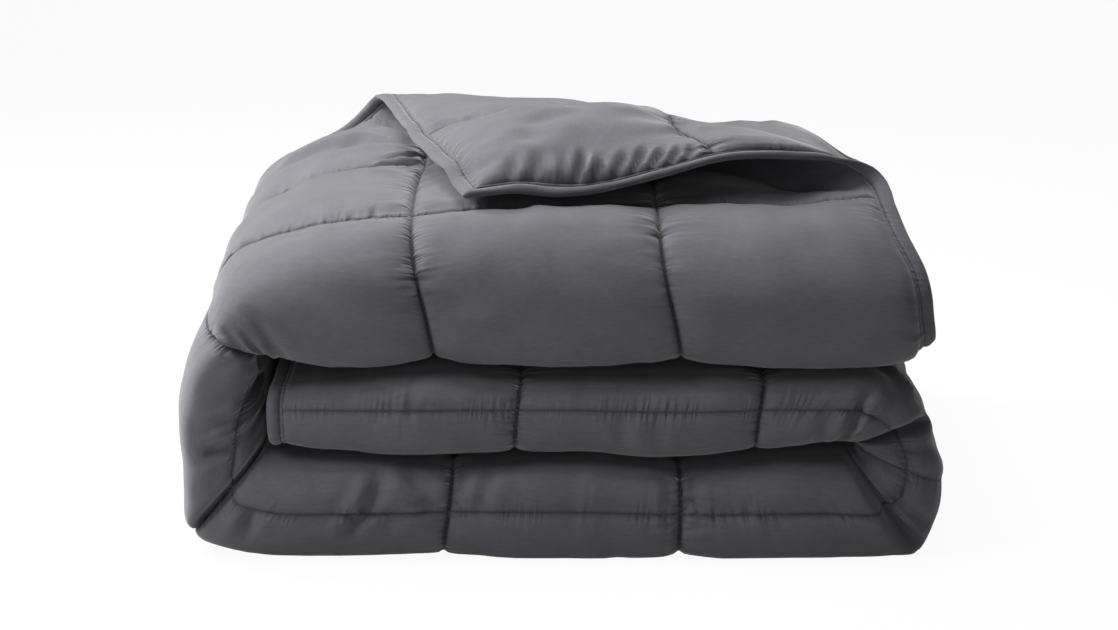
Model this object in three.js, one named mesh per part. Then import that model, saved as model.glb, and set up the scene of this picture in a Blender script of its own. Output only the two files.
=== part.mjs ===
// A king-size box-stitched duvet, folded for the shelf: quartered in its length, so that
// the long fold faces forward, then letter-folded in thirds across its width, with the top
// sheet's back right corner turned over as a flap.
// Millimetres. X to the right, Y to the back, Z up, and the bundle stands on Z = 0.
import * as THREE from 'three';

// ---- driving dimensions ------------------------------------------------------------------
const BOXES_WIDE = 10;            // quilted boxes across the width
const BOXES_LONG = 12;            // quilted boxes along the length
const BOX_WIDE = 228.6;           // one box across: 2286 in all
const BOX_LONG = 224.4;           // one box along: 2693 in all
const SEAM_THICK = 5;             // cloth and filling pressed together at a seam
const LAYER_GAP = 2.2;            // air between two neighbouring sheets
const SHEETS = 4;                 // sheets in one folded panel
const CROWN_SHAPE = 0.45;         // how soon a box swells away from its seams
const BINDING_WIDE = 14;          // bound edge
const BINDING_THICK = 4.6;
const BINDING_SLACK = 0.3;        // between the binding and the quilted cloth
const MIDDLE_X = 0.02;            // the origin lies under this point, the middle of the
const MIDDLE_Y = 328.94;          // bundle's box, which is laid out from its front at Y = 0
const FRONT_Y = 112;              // where the table's front column is true
const BACK_Y = 650;               // where its back column is true

// The three panels and the two C-shaped turns, as sections across the width. "at" counts
// boxes from the right hem of the top panel, over the left turn, along the bottom panel,
// round the right turn and back along the middle panel. Each section runs from the inner
// side of the wrap (innerX, innerZ) to its outer side (outerX, outerZ), and backX, backZ is
// the outer side at the back of the bundle.
const SECTIONS = [
  { at: 0.00, innerX: 348, innerZ: 172, outerX: 311, outerZ: 335, backX: 310, backZ: 327 },
  { at: 0.50, innerX: 230, innerZ: 171, outerX: 202, outerZ: 328, backX: 207, backZ: 353 },
  { at: 1.00, innerX: 115, innerZ: 173, outerX: 90, outerZ: 328, backX: 95, backZ: 355 },
  { at: 1.50, innerX: 1, innerZ: 174, outerX: -24, outerZ: 328, backX: -22, backZ: 355 },
  { at: 2.00, innerX: -113, innerZ: 173, outerX: -140, outerZ: 326, backX: -142, backZ: 351 },
  { at: 2.25, innerX: -171, innerZ: 174, outerX: -196, outerZ: 316, backX: -204, backZ: 349 },
  { at: 2.50, innerX: -217, innerZ: 176, outerX: -256, outerZ: 298, backX: -265, backZ: 325 },
  { at: 2.75, innerX: -252, innerZ: 182, outerX: -314, outerZ: 268, backX: -324, backZ: 280 },
  { at: 3.00, innerX: -271, innerZ: 188, outerX: -341, outerZ: 214, backX: -346, backZ: 218 },
  { at: 3.25, innerX: -275, innerZ: 171, outerX: -352, outerZ: 178, backX: -354, backZ: 178 },
  { at: 3.50, innerX: -275, innerZ: 148, outerX: -358, outerZ: 122, backX: -358, backZ: 122 },
  { at: 3.75, innerX: -274, innerZ: 126, outerX: -357, outerZ: 64, backX: -355, backZ: 64 },
  { at: 4.00, innerX: -269, innerZ: 106, outerX: -352, outerZ: 9, backX: -349, backZ: 9 },
  { at: 4.25, innerX: -236, innerZ: 96, outerX: -292, outerZ: -6, backX: -292, backZ: -6 },
  { at: 4.50, innerX: -192, innerZ: 94, outerX: -230, outerZ: -6, backX: -230, backZ: -6 },
  { at: 5.00, innerX: -99, innerZ: 93, outerX: -109, outerZ: -6, backX: -109, backZ: -6 },
  { at: 5.50, innerX: 5, innerZ: 93, outerX: 1, outerZ: -6, backX: 1, backZ: -6 },
  { at: 6.00, innerX: 110, innerZ: 93, outerX: 112, outerZ: -6, backX: 112, backZ: -6 },
  { at: 6.25, innerX: 163, innerZ: 94, outerX: 184, outerZ: -6, backX: 184, backZ: -6 },
  { at: 6.50, innerX: 216, innerZ: 95, outerX: 257, outerZ: -6, backX: 257, backZ: -6 },
  { at: 6.75, innerX: 266, innerZ: 97, outerX: 341, outerZ: -4, backX: 338, backZ: -4 },
  { at: 7.00, innerX: 275, innerZ: 102, outerX: 364, outerZ: 66, backX: 360, backZ: 66 },
  { at: 7.25, innerX: 267, innerZ: 107, outerX: 345, outerZ: 137, backX: 342, backZ: 137 },
  { at: 7.50, innerX: 245, innerZ: 105, outerX: 303, outerZ: 172, backX: 303, backZ: 172 },
  { at: 7.75, innerX: 213, innerZ: 101, outerX: 248, outerZ: 174, backX: 250, backZ: 174 },
  { at: 8.00, innerX: 180, innerZ: 97, outerX: 192, outerZ: 174, backX: 194, backZ: 174 },
  { at: 8.50, innerX: 69, innerZ: 96, outerX: 79, outerZ: 174, backX: 81, backZ: 174 },
  { at: 9.00, innerX: -42, innerZ: 95, outerX: -33, outerZ: 174, backX: -32, backZ: 174 },
  { at: 9.50, innerX: -156, innerZ: 95, outerX: -150, outerZ: 173, backX: -148, backZ: 173 },
  { at: 10.0, innerX: -268, innerZ: 99, outerX: -267, outerZ: 165, backX: -266, backZ: 166 },
];

// How the quartered length lies at a section: the front fold's place, the depths of its
// rounding on the side of the first sheet (above) and of the last (below), the share of each
// half of its height that stands upright, the box count that reaches it, and how far back the
// upper hem, the back fold and the lower hem lie.
const LENGTHS = [
  { at: 0.0, frontY: 3, above: 84, below: 20, bluntAbove: 0.14, bluntBelow: 0.50,
    boxesToFront: 2.62, hemY: 567, foldY: 641, secondHemY: 652 },
  { at: 1.0, frontY: 0, above: 84, below: 22, bluntAbove: 0.12, bluntBelow: 0.50,
    boxesToFront: 2.70, hemY: 567, foldY: 645, secondHemY: 655 },
  { at: 2.0, frontY: 1, above: 88, below: 22, bluntAbove: 0.12, bluntBelow: 0.50,
    boxesToFront: 2.57, hemY: 558, foldY: 648, secondHemY: 657 },
  { at: 2.5, frontY: 3, above: 108, below: 24, bluntAbove: 0.12, bluntBelow: 0.48,
    boxesToFront: 2.62, hemY: 573, foldY: 649, secondHemY: 656 },
  { at: 3.0, frontY: 8, above: 130, below: 26, bluntAbove: 0.12, bluntBelow: 0.45,
    boxesToFront: 2.72, hemY: 592, foldY: 650, secondHemY: 655 },
  { at: 3.5, frontY: 10, above: 60, below: 32, bluntAbove: 0.36, bluntBelow: 0.40,
    boxesToFront: 2.87, hemY: 622, foldY: 648, secondHemY: 652 },
  { at: 4.0, frontY: 5, above: 34, below: 32, bluntAbove: 0.42, bluntBelow: 0.42,
    boxesToFront: 2.94, hemY: 638, foldY: 646, secondHemY: 650 },
  { at: 5.0, frontY: -2, above: 20, below: 30, bluntAbove: 0.50, bluntBelow: 0.50,
    boxesToFront: 2.985, hemY: 646, foldY: 650, secondHemY: 648 },
  { at: 6.0, frontY: -2, above: 20, below: 30, bluntAbove: 0.50, bluntBelow: 0.50,
    boxesToFront: 2.985, hemY: 648, foldY: 652, secondHemY: 645 },
  { at: 7.0, frontY: 6, above: 26, below: 28, bluntAbove: 0.45, bluntBelow: 0.45,
    boxesToFront: 3.01, hemY: 642, foldY: 646, secondHemY: 640 },
  { at: 8.0, frontY: 5, above: 34, below: 18, bluntAbove: 0.45, bluntBelow: 0.45,
    boxesToFront: 3.04, hemY: 636, foldY: 640, secondHemY: 632 },
  { at: 9.0, frontY: 3, above: 34, below: 18, bluntAbove: 0.45, bluntBelow: 0.45,
    boxesToFront: 3.04, hemY: 632, foldY: 638, secondHemY: 628 },
  { at: 10.0, frontY: 6, above: 32, below: 18, bluntAbove: 0.45, bluntBelow: 0.45,
    boxesToFront: 3.04, hemY: 630, foldY: 634, secondHemY: 626 },
];

// Creases across the front folds where the panels turn: how far they are drawn back, and
// how much farther back the cloth lies after one than before it.
const MITRES = [
  { at: 3.02, deep: 14, wide: 0.04, step: 0 }, { at: 3.98, deep: 16, wide: 0.04, step: 0 },
  { at: 6.75, deep: 20, wide: 0.03, step: 12 }, { at: 7.28, deep: 20, wide: 0.03, step: -12 },
];

// The corner flap: the top sheet turns up and over along a line seen from above.
const FLAP = {
  normalX: 0.636, normalY: 0.772, // unit vector from the line to the turned corner
  offset: 276.7,                  // distance of the line from the origin along it
  length: 740,                    // of the line, from the back hem to the right hem
  startX: -253, startY: 567,      // its end on the back hem
  settleFrom: 100, settleOver: 210, // where the flap comes down onto the sheet below
  restHem: 20, restCrown: 36,     // and how high above its middle it then lies
  hemReach: 60,                   // width of the thin rim beside a hem
  waveFrom: 20, waveOver: 60,     // where past the line the right hem's wave begins
  waveReach: 170,                 // and how far from that hem it fades out
  squeeze: 0.4, squeezeReach: 70, // how much thinner the cloth is in the turn, and how far
  topFront: 309, topBack: 334,    // height of the top sheet's middle at front and back
  shoulderX: -150, shoulderDrop: 0.003, // and its fall over the left shoulder
};

// Radius of the flap's turn, for a share of the line from the back hem to the right hem, and
// the rise and fall of its right hem, for a box count from its corner.
const FLAP_TURN = [
  { at: 0, radius: 17 }, { at: 0.3, radius: 19 }, { at: 0.6, radius: 29 },
  { at: 0.68, radius: 24 }, { at: 0.8, radius: 21 }, { at: 1, radius: 16 },
];
const FLAP_WAVE = [
  { at: 0, lift: -4 }, { at: 0.3, lift: -10 }, { at: 0.6, lift: -13 }, { at: 0.9, lift: -4 },
  { at: 1.2, lift: 13 }, { at: 1.5, lift: 15 }, { at: 1.8, lift: 8 }, { at: 2.1, lift: 0 },
  { at: 12, lift: 0 },
];

// The top panel sags between the left turn and the hem that it bridges. Its second sheet
// springs up at the back right, where the first one is turned away, and droops at the hem.
const SAG = { at: 2.5, reach: 0.6, deep: 10 };
const SPRING = { high: 14, droop: 24, droopReach: 70,
  fromAlong: 10.4, overAlong: 1.5, toAcross: 2.4, overAcross: 1 };

// Grid lines of a box, as shares of it: plain boxes, boxes inside the bundle, boxes under the
// flap, and by number the boxes on a turn and those whose hem the flap's line crosses.
const PLAIN_CELLS = [0, 0.18, 0.5, 0.82];
const HIDDEN_CELLS = [0, 0.22, 0.78];
const FLAP_CELLS = [0, 0.2, 0.42, 0.61, 0.82];
const CELLS_ACROSS = { 0: FLAP_CELLS, 1: FLAP_CELLS, 2: [0, 0.07, 0.15, 0.23, 0.31, 0.4, 0.48, 0.72],
  4: HIDDEN_CELLS, 5: HIDDEN_CELLS, 6: [0, 0.3, 0.68, 0.75, 0.8, 0.9],
  7: [0, 0.14, 0.22, 0.28, 0.34, 0.5, 0.75], 8: HIDDEN_CELLS, 9: HIDDEN_CELLS };
const CELLS_ALONG = { 0: FLAP_CELLS, 1: [0, 0.2, 0.42, 0.6, 0.71, 0.78, 0.85, 0.93],
  2: [0, 0.07, 0.2, 0.4, 0.58, 0.72, 0.8, 0.9], 3: [0, 0.09, 0.18, 0.3, 0.76], 4: [0, 0.5],
  5: HIDDEN_CELLS, 6: HIDDEN_CELLS, 7: [0, 0.5], 8: HIDDEN_CELLS, 9: HIDDEN_CELLS,
  10: [0, 0.5], 11: HIDDEN_CELLS };

// ---- small helpers -----------------------------------------------------------------------
const clamp01 = (t) => Math.min(1, Math.max(0, t));
const lerp = (a, b, t) => a + (b - a) * t;
const smooth = (t) => clamp01(t) ** 2 * (3 - 2 * clamp01(t));

// A table column read between its rows by a cubic through them.
function column(rows, name, at) {
  let i = 0;
  while (i < rows.length - 2 && rows[i + 1].at <= at) i += 1;
  const row = (k) => rows[Math.min(rows.length - 1, Math.max(0, k))];
  const slope = (k) => (row(k + 1)[name] - row(k - 1)[name]) / (row(k + 1).at - row(k - 1).at);
  const span = row(i + 1).at - row(i).at;
  const t = (at - row(i).at) / span;
  const swing = t * (1 - t) * span * ((1 - t) * slope(i) - t * slope(i + 1));
  return row(i)[name] * (1 + 2 * t) * (1 - t) ** 2 + row(i + 1)[name] * t * t * (3 - 2 * t) + swing;
}

// The inner and outer side of the wrap at one section and depth into the bundle.
function wrapSides(across, y) {
  const depth = clamp01((y - FRONT_Y) / (BACK_Y - FRONT_Y));
  const read = (name) => column(SECTIONS, name, across);
  const bridge = smooth(1 - Math.abs(across - SAG.at) / SAG.reach) * Math.sin(Math.PI * depth);
  return {
    inner: new THREE.Vector3(read('innerX'), y, read('innerZ') - SAG.deep * bridge),
    outer: new THREE.Vector3(
      lerp(read('outerX'), read('backX'), depth), y, lerp(read('outerZ'), read('backZ'), depth)),
  };
}

const quarterLength = (a, b) => (Math.PI / 2) * Math.sqrt((a * a + b * b) / 2);

// ---- the quartered length ----------------------------------------------------------------
// A rounded turn about the height "lift", at a distance along the cloth from its nose:
// upright beside the nose, then a quarter of an ellipse above and below. "side" is -1 for a
// nose at the front and 1 for one at the back.
function turn({ noseY, lift, tall, deep, upright, side, facing }, distance) {
  const high = tall - upright;
  const arc = quarterLength(high, deep);
  const share = clamp01((Math.abs(distance) - upright) / arc);
  const bow = (arc / high - arc / deep) / (2 * Math.PI);
  const angle = (Math.PI / 2) * share + bow * Math.sin(Math.PI * share);
  const up = distance < 0 ? -1 : 1;
  const size = Math.hypot(high * Math.cos(angle), deep * Math.sin(angle));
  const straight = Math.max(-upright, Math.min(upright, distance));
  return {
    y: noseY - side * deep * (1 - Math.cos(angle)),
    lift: lift + straight + up * high * Math.sin(angle),
    normalY: facing * side * high * Math.cos(angle) / size,
    normalLift: facing * up * deep * Math.sin(angle) / size,
  };
}

// The path of the cloth's middle in the plane of depth (Y) and height in the panel (lift,
// from 0 at the panel's inner side to its full thickness), for a place along the length.
function lengthPath(across, along, full) {
  const read = (name) => column(LENGTHS, name, across);
  const pitch = full / SHEETS;
  const half = (pitch - LAYER_GAP) / 2;
  const length = along * BOX_LONG;
  const toFront = read('boxesToFront') * BOX_LONG;
  const toBack = (BOXES_LONG / 2) * BOX_LONG;
  const toInside = (3 * BOXES_LONG / 4) * BOX_LONG;

  const drawn = MITRES.map(({ at, deep, wide, step }) => deep * Math.exp(-(((across - at) / wide) ** 2))
    + step * smooth(0.5 + (across - at) / (4 * wide)));
  const noseY = read('frontY') + half + drawn.reduce((sum, depth) => sum + depth);
  const tall = 1.5 * pitch;
  const outer = { noseY, lift: 2 * pitch, tall, side: -1, facing: 1 };
  const above = { ...outer, deep: read('above'), upright: tall * read('bluntAbove') };
  const below = { ...outer, deep: read('below'), upright: tall * read('bluntBelow') };
  const reach = ({ upright, deep }) => upright + quarterLength(tall - upright, deep);
  const reachAbove = reach(above);
  const reachBelow = reach(below);
  const foldY = read('foldY') - half;
  const back = { noseY: foldY, lift: pitch, tall: 0.5 * pitch, deep: 0.5 * pitch,
    upright: 0, side: 1, facing: 1 };
  const reachBack = quarterLength(back.tall, back.deep);
  const inner = { noseY: noseY + 1.3 * pitch, lift: 2 * pitch, tall: 0.5 * pitch,
    deep: 0.8 * pitch, upright: 0, side: -1, facing: -1 };
  const reachInner = quarterLength(inner.tall, inner.deep);
  const innerEnd = inner.noseY + inner.deep;

  const straight = (from, to, yFrom, yTo, lift, normal) => ({
    y: lerp(yFrom, yTo, (length - from) / (to - from)), lift, normalY: 0, normalLift: normal,
  });

  if (length < toFront - reachAbove) {
    return straight(0, toFront - reachAbove, read('hemY'), noseY + above.deep, 3.5 * pitch, 1);
  }
  if (length < toFront) return turn(above, toFront - length);
  if (length < toFront + reachBelow) return turn(below, toFront - length);
  if (length < toBack - reachBack) {
    return straight(toFront + reachBelow, toBack - reachBack,
      noseY + below.deep, foldY - back.deep, 0.5 * pitch, -1);
  }
  if (length < toBack + reachBack) return turn(back, length - toBack);
  if (length < toInside - reachInner) {
    return straight(toBack + reachBack, toInside - reachInner,
      foldY - back.deep, innerEnd, 1.5 * pitch, 1);
  }
  if (length < toInside + reachInner) return turn(inner, length - toInside);
  return straight(toInside + reachInner, BOXES_LONG * BOX_LONG,
    innerEnd, read('secondHemY'), 2.5 * pitch, -1);
}

// ---- the corner flap ---------------------------------------------------------------------
const topHeight = (x, y) => lerp(FLAP.topFront, FLAP.topBack,
  clamp01((y - FRONT_Y) / (BACK_Y - FRONT_Y)))
  - FLAP.shoulderDrop * Math.max(0, FLAP.shoulderX - x) ** 2;

// Turns a point of the top sheet over the flap's line. "middle" is on the cloth's middle and
// "offset" leads from it to the point.
function turnFlap(middle, offset, across, along) {
  const { normalX, normalY } = FLAP;
  const past = middle.x * normalX + middle.y * normalY - FLAP.offset;
  const footX = middle.x - normalX * past;
  const footY = middle.y - normalY * past;
  const place = clamp01(Math.hypot(footX - FLAP.startX, footY - FLAP.startY) / FLAP.length);
  const radius = column(FLAP_TURN, 'radius', place);
  const halfTurn = Math.PI * radius / 2;
  const away = Math.abs(past - halfTurn) / (halfTurn + FLAP.squeezeReach);
  if (offset.length() > SEAM_THICK) {
    const thin = 1 - FLAP.squeeze * smooth(1.4 * (1 - away));
    offset.setLength(Math.max(SEAM_THICK, offset.length() * thin));
  }
  if (past <= 0) return middle.clone().add(offset);
  const angle = Math.min(Math.PI, past / radius);
  const back = Math.max(0, past - Math.PI * radius);
  const slide = radius * Math.sin(angle) - back;
  const x = footX + normalX * slide;
  const y = footY + normalY * slide;
  const ground = lerp(middle.z, topHeight(x, y), smooth(past / (Math.PI * radius)));
  const hem = Math.min(across * BOX_WIDE, along * BOX_LONG);
  const rest = lerp(FLAP.restHem, FLAP.restCrown, smooth(hem / FLAP.hemReach));
  const settle = smooth((back - FLAP.settleFrom) / FLAP.settleOver);
  const lift = radius * (1 - Math.cos(angle));
  const wave = column(FLAP_WAVE, 'lift', along)
    * smooth(1 - across * BOX_WIDE / FLAP.waveReach) * smooth((past - FLAP.waveFrom) / FLAP.waveOver);
  const z = ground + lerp(lift, rest, settle) + wave;
  const level = offset.x * normalX + offset.y * normalY;
  const side = level * Math.cos(angle) - offset.z * Math.sin(angle);
  const up = level * Math.sin(angle) + offset.z * Math.cos(angle);
  return new THREE.Vector3(
    x + offset.x + normalX * (side - level), y + offset.y + normalY * (side - level), z + up);
}

// ---- one point of the folded cloth -------------------------------------------------------
// "across" and "along" count boxes over the flat duvet, and "rise" is the distance from the
// cloth's middle towards its face.
function foldedPoint(across, along, rise) {
  const first = lengthPath(across, along, 1);
  const sides = wrapSides(across, first.y);
  const full = sides.outer.distanceTo(sides.inner);
  const path = lengthPath(across, along, full);
  const at = (y, lift) => {
    const { inner, outer } = wrapSides(across, y);
    return inner.lerp(outer, lift / full);
  };
  const middle = at(path.y, path.lift);
  const point = at(path.y + rise * path.normalY, path.lift + rise * path.normalLift);
  const onTopSheet = along < column(LENGTHS, 'boxesToFront', across) && across < 3;
  if (onTopSheet) point.copy(turnFlap(middle, point.sub(middle), across, along));
  const spring = smooth((along - SPRING.fromAlong) / SPRING.overAlong)
    * smooth((SPRING.toAcross - across) / SPRING.overAcross);
  const droop = SPRING.droop * smooth(1 - across * BOX_WIDE / SPRING.droopReach);
  point.z = Math.max(0, point.z + (SPRING.high - droop) * spring);
  return point;
}

// Half the thickness of the quilted cloth: pressed at the seams and crowned in each box.
function halfThickness(across, along) {
  const edge = BINDING_WIDE + BINDING_SLACK;
  const share = (at, boxes, pitch) => {
    const box = Math.min(boxes - 1, Math.floor(at));
    const from = box === 0 ? edge / pitch : box;
    const to = box === boxes - 1 ? boxes - edge / pitch : box + 1;
    return clamp01((at - from) / (to - from));
  };
  const crown = (t) => Math.max(0, 4 * t * (1 - t)) ** CROWN_SHAPE;
  const path = lengthPath(across, along, 1);
  const { inner, outer } = wrapSides(across, path.y);
  const full = outer.distanceTo(inner) / SHEETS - LAYER_GAP;
  const swell = crown(share(across, BOXES_WIDE, BOX_WIDE)) * crown(share(along, BOXES_LONG, BOX_LONG));
  return lerp(SEAM_THICK, full, swell) / 2;
}

// ---- meshes ------------------------------------------------------------------------------
// Places of the grid lines over the flat duvet, from rim to rim, in boxes.
function gridLines(boxes, pitch, cells) {
  const rim = (BINDING_WIDE + BINDING_SLACK) / pitch;
  const lines = [];
  for (let box = 0; box < boxes; box += 1) {
    (cells[box] ?? PLAIN_CELLS).forEach((cell) => lines.push(Math.max(rim, box + cell)));
  }
  lines.push(boxes - rim);
  return lines;
}
const LINES_ACROSS = gridLines(BOXES_WIDE, BOX_WIDE, CELLS_ACROSS);
const LINES_ALONG = gridLines(BOXES_LONG, BOX_LONG, CELLS_ALONG);

function meshFrom(name, points, faces, colour) {
  const geometry = new THREE.BufferGeometry();
  geometry.setAttribute('position',
    new THREE.Float32BufferAttribute(points.flatMap((p) => [p.x, p.y, p.z]), 3));
  geometry.setIndex(faces.flat());
  geometry.computeVertexNormals();
  const material = new THREE.MeshStandardMaterial({ color: colour, roughness: 0.78, metalness: 0 });
  const mesh = new THREE.Mesh(geometry, material);
  mesh.name = name;
  return mesh;
}

// Two triangles for the quadrilateral a b c d, which runs clockwise seen from outside.
const quad = (a, b, c, d) => [[a, c, b], [a, d, c]];

// The quilted cloth: a face and a back over the whole grid, joined round the rim.
function duvet() {
  const nA = LINES_ACROSS.length;
  const nL = LINES_ALONG.length;
  const points = [];
  [1, -1].forEach((side) => LINES_ACROSS.forEach((across) => LINES_ALONG.forEach((along) => {
    points.push(foldedPoint(across, along, side * halfThickness(across, along)));
  })));
  const at = (side, i, j) => side * nA * nL + i * nL + j;
  const faces = [];
  for (let i = 0; i < nA - 1; i += 1) {
    for (let j = 0; j < nL - 1; j += 1) {
      faces.push(...quad(at(0, i, j + 1), at(0, i + 1, j + 1), at(0, i + 1, j), at(0, i, j)));
      faces.push(...quad(at(1, i + 1, j), at(1, i + 1, j + 1), at(1, i, j + 1), at(1, i, j)));
    }
  }
  for (let i = 0; i < nA - 1; i += 1) {
    const last = nL - 1;
    faces.push(...quad(at(0, i, 0), at(0, i + 1, 0), at(1, i + 1, 0), at(1, i, 0)));
    faces.push(...quad(at(0, i + 1, last), at(0, i, last), at(1, i, last), at(1, i + 1, last)));
  }
  for (let j = 0; j < nL - 1; j += 1) {
    const last = nA - 1;
    faces.push(...quad(at(0, 0, j + 1), at(0, 0, j), at(1, 0, j), at(1, 0, j + 1)));
    faces.push(...quad(at(0, last, j), at(0, last, j + 1), at(1, last, j + 1), at(1, last, j)));
  }
  return meshFrom('duvet', points, faces, 0x54535a);
}

// The binding: one strip round all four hems, outside the quilted cloth's rim.
function binding() {
  const rim = { across: BINDING_WIDE / BOX_WIDE, along: BINDING_WIDE / BOX_LONG };
  const route = [];
  const inset = (at, boxes, width) => Math.min(boxes - width, Math.max(width, at));
  const add = (across, along) => route.push({
    outer: [across, along],
    inner: [inset(across, BOXES_WIDE, rim.across), inset(along, BOXES_LONG, rim.along)],
  });
  const insideAcross = LINES_ACROSS.slice(1, -1);
  const insideAlong = LINES_ALONG.slice(1, -1);
  add(0, 0);
  insideAcross.forEach((across) => add(across, 0));
  add(BOXES_WIDE, 0);
  insideAlong.forEach((along) => add(BOXES_WIDE, along));
  add(BOXES_WIDE, BOXES_LONG);
  [...insideAcross].reverse().forEach((across) => add(across, BOXES_LONG));
  add(0, BOXES_LONG);
  [...insideAlong].reverse().forEach((along) => add(0, along));

  const points = route.flatMap(({ outer, inner }) => [
    foldedPoint(...inner, BINDING_THICK / 2),
    foldedPoint(...outer, BINDING_THICK / 2),
    foldedPoint(...outer, -BINDING_THICK / 2),
    foldedPoint(...inner, -BINDING_THICK / 2),
  ]);
  const faces = [];
  route.forEach((_, k) => {
    const here = 4 * k;
    const next = 4 * ((k + 1) % route.length);
    for (let c = 0; c < 4; c += 1) {
      const d = (c + 1) % 4;
      faces.push(...quad(next + c, next + d, here + d, here + c));
    }
  });
  return meshFrom('binding', points, faces, 0x4a4950);
}

const bundle = new THREE.Group();
bundle.name = 'folded_duvet';
bundle.add(duvet(), binding());
bundle.position.set(-MIDDLE_X, -MIDDLE_Y, 0);
export default bundle;
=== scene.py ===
"""A king-size box-stitched duvet, folded for the shelf.

Its length is quartered, so that the long rounded fold faces forward, and its width is
letter-folded in thirds. The top sheet's back right corner is turned over as a flap. The
shapes are functions of two counts over the flat duvet: "across" counts quilted boxes from
the right hem of the top panel, "along" counts them from the back hem of the top sheet. The
quilted cloth is made as two pieces that meet along one seam across, each on its own grid.
Sizes are millimetres until a mesh is made, and metres from there on.
"""

import bpy
import numpy as np
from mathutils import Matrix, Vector


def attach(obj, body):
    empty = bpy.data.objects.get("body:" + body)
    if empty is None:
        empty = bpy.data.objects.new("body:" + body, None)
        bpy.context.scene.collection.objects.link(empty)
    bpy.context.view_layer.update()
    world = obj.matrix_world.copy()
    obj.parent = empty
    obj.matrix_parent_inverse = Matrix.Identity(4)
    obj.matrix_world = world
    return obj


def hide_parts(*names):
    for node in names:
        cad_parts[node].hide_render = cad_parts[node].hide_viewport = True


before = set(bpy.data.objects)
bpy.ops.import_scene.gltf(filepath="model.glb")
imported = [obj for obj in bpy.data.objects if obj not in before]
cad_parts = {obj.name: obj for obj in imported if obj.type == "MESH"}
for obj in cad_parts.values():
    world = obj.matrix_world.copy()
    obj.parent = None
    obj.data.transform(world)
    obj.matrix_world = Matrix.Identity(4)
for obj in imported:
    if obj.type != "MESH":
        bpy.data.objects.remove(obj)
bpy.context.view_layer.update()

MM = 0.001
BOXES_WIDE = 10
BOXES_LONG = 12
BOX_WIDE = 228.6
BOX_LONG = 224.4
SHEETS = 4                      # layers in a panel, with the length quartered
LAYER_GAP = 2.2
SEAM_THICK = 3.2
CROWN_SHAPE = 0.44              # below 1 the boxes are flat on top and steep at their seams
BINDING_WIDE = 16.0
BINDING_THICK = 9.0
RIM = 15.0                      # the quilted cloth ends this far inside the outer edge
MIDDLE_X = 0.02                 # the frame's origin, seen from the duvet's own layout
MIDDLE_Y = 328.94
FRONT_Y = 112.0                 # between these two the wrap goes over to its back columns
BACK_Y = 650.0


def table(names, *rows):
    """Rows of numbers under named columns, as one array for each column."""
    return dict(zip(names.split(), np.array(rows, dtype=float).T))


# The wrap's inner and outer side at sections across the width, and the outer side at the
# back of the bundle.
SECTIONS = table(
    "at inner_x inner_z outer_x outer_z back_x back_z",
    (0.00, 348, 172, 311, 335, 310, 327),
    (0.50, 230, 171, 202, 328, 207, 353),
    (1.00, 115, 173, 90, 328, 95, 355),
    (1.50, 1, 174, -24, 328, -22, 355),
    (2.00, -113, 173, -140, 326, -142, 351),
    (2.25, -171, 174, -196, 316, -204, 349),
    (2.50, -217, 176, -256, 298, -265, 325),
    (2.75, -252, 182, -314, 268, -324, 280),
    (3.00, -271, 188, -341, 214, -346, 218),
    (3.25, -275, 171, -352, 178, -354, 178),
    (3.50, -275, 148, -358, 122, -358, 122),
    (3.75, -274, 126, -357, 64, -355, 64),
    (4.00, -269, 106, -352, 9, -349, 9),
    (4.25, -236, 96, -292, -6, -292, -6),
    (4.50, -192, 94, -230, -6, -230, -6),
    (5.00, -99, 93, -109, -6, -109, -6),
    (5.50, 5, 93, 1, -6, 1, -6),
    (6.00, 110, 93, 112, -6, 112, -6),
    (6.25, 163, 94, 184, -6, 184, -6),
    (6.50, 216, 95, 257, -6, 257, -6),
    (6.75, 266, 97, 341, -4, 338, -4),
    (7.00, 275, 102, 364, 66, 360, 66),
    (7.25, 267, 107, 345, 137, 342, 137),
    (7.50, 245, 105, 303, 172, 303, 172),
    (7.75, 213, 101, 248, 174, 250, 174),
    (8.00, 180, 97, 192, 174, 194, 174),
    (8.50, 69, 96, 79, 174, 81, 174),
    (9.00, -42, 95, -33, 174, -32, 174),
    (9.50, -156, 95, -150, 173, -148, 173),
    (10.0, -268, 99, -267, 165, -266, 166),
)

# How the quartered length lies at a section; the nose is the height of the front roll's
# foremost line, in sheets.
LENGTHS = table(
    "at nose front_y round tuck blunt_above blunt_below boxes_to_front hem_y fold_y second_hem_y",
    (0.0, 1.68, 2, 92, 20, 0.06, 0.46, 2.56, 567, 641, 652),
    (1.0, 1.68, -1, 92, 22, 0.05, 0.46, 2.64, 567, 645, 655),
    (2.0, 1.68, 0, 96, 22, 0.05, 0.46, 2.51, 558, 648, 657),
    (2.5, 1.70, 2, 112, 24, 0.06, 0.45, 2.56, 573, 649, 656),
    (3.0, 1.80, 8, 130, 26, 0.10, 0.45, 2.69, 592, 650, 655),
    (3.5, 2.00, 10, 56, 40, 0.36, 0.40, 2.87, 622, 648, 652),
    (3.9, 2.00, 6, 36, 36, 0.42, 0.42, 2.93, 636, 646, 650),
    (4.1, 2.00, 4, 32, 34, 0.43, 0.43, 3.00, 639, 646, 650),
    (5.0, 2.00, -2, 20, 30, 0.50, 0.50, 2.985, 646, 650, 648),
    (6.0, 2.00, -2, 20, 30, 0.50, 0.50, 2.985, 648, 652, 645),
    (7.0, 2.00, 6, 26, 28, 0.45, 0.45, 3.01, 642, 646, 640),
    (8.0, 2.00, 5, 34, 18, 0.45, 0.45, 3.04, 636, 640, 632),
    (9.0, 2.00, 3, 34, 18, 0.45, 0.45, 3.04, 632, 638, 628),
    (10.0, 2.00, 6, 32, 18, 0.45, 0.45, 3.04, 630, 634, 626),
)

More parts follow.
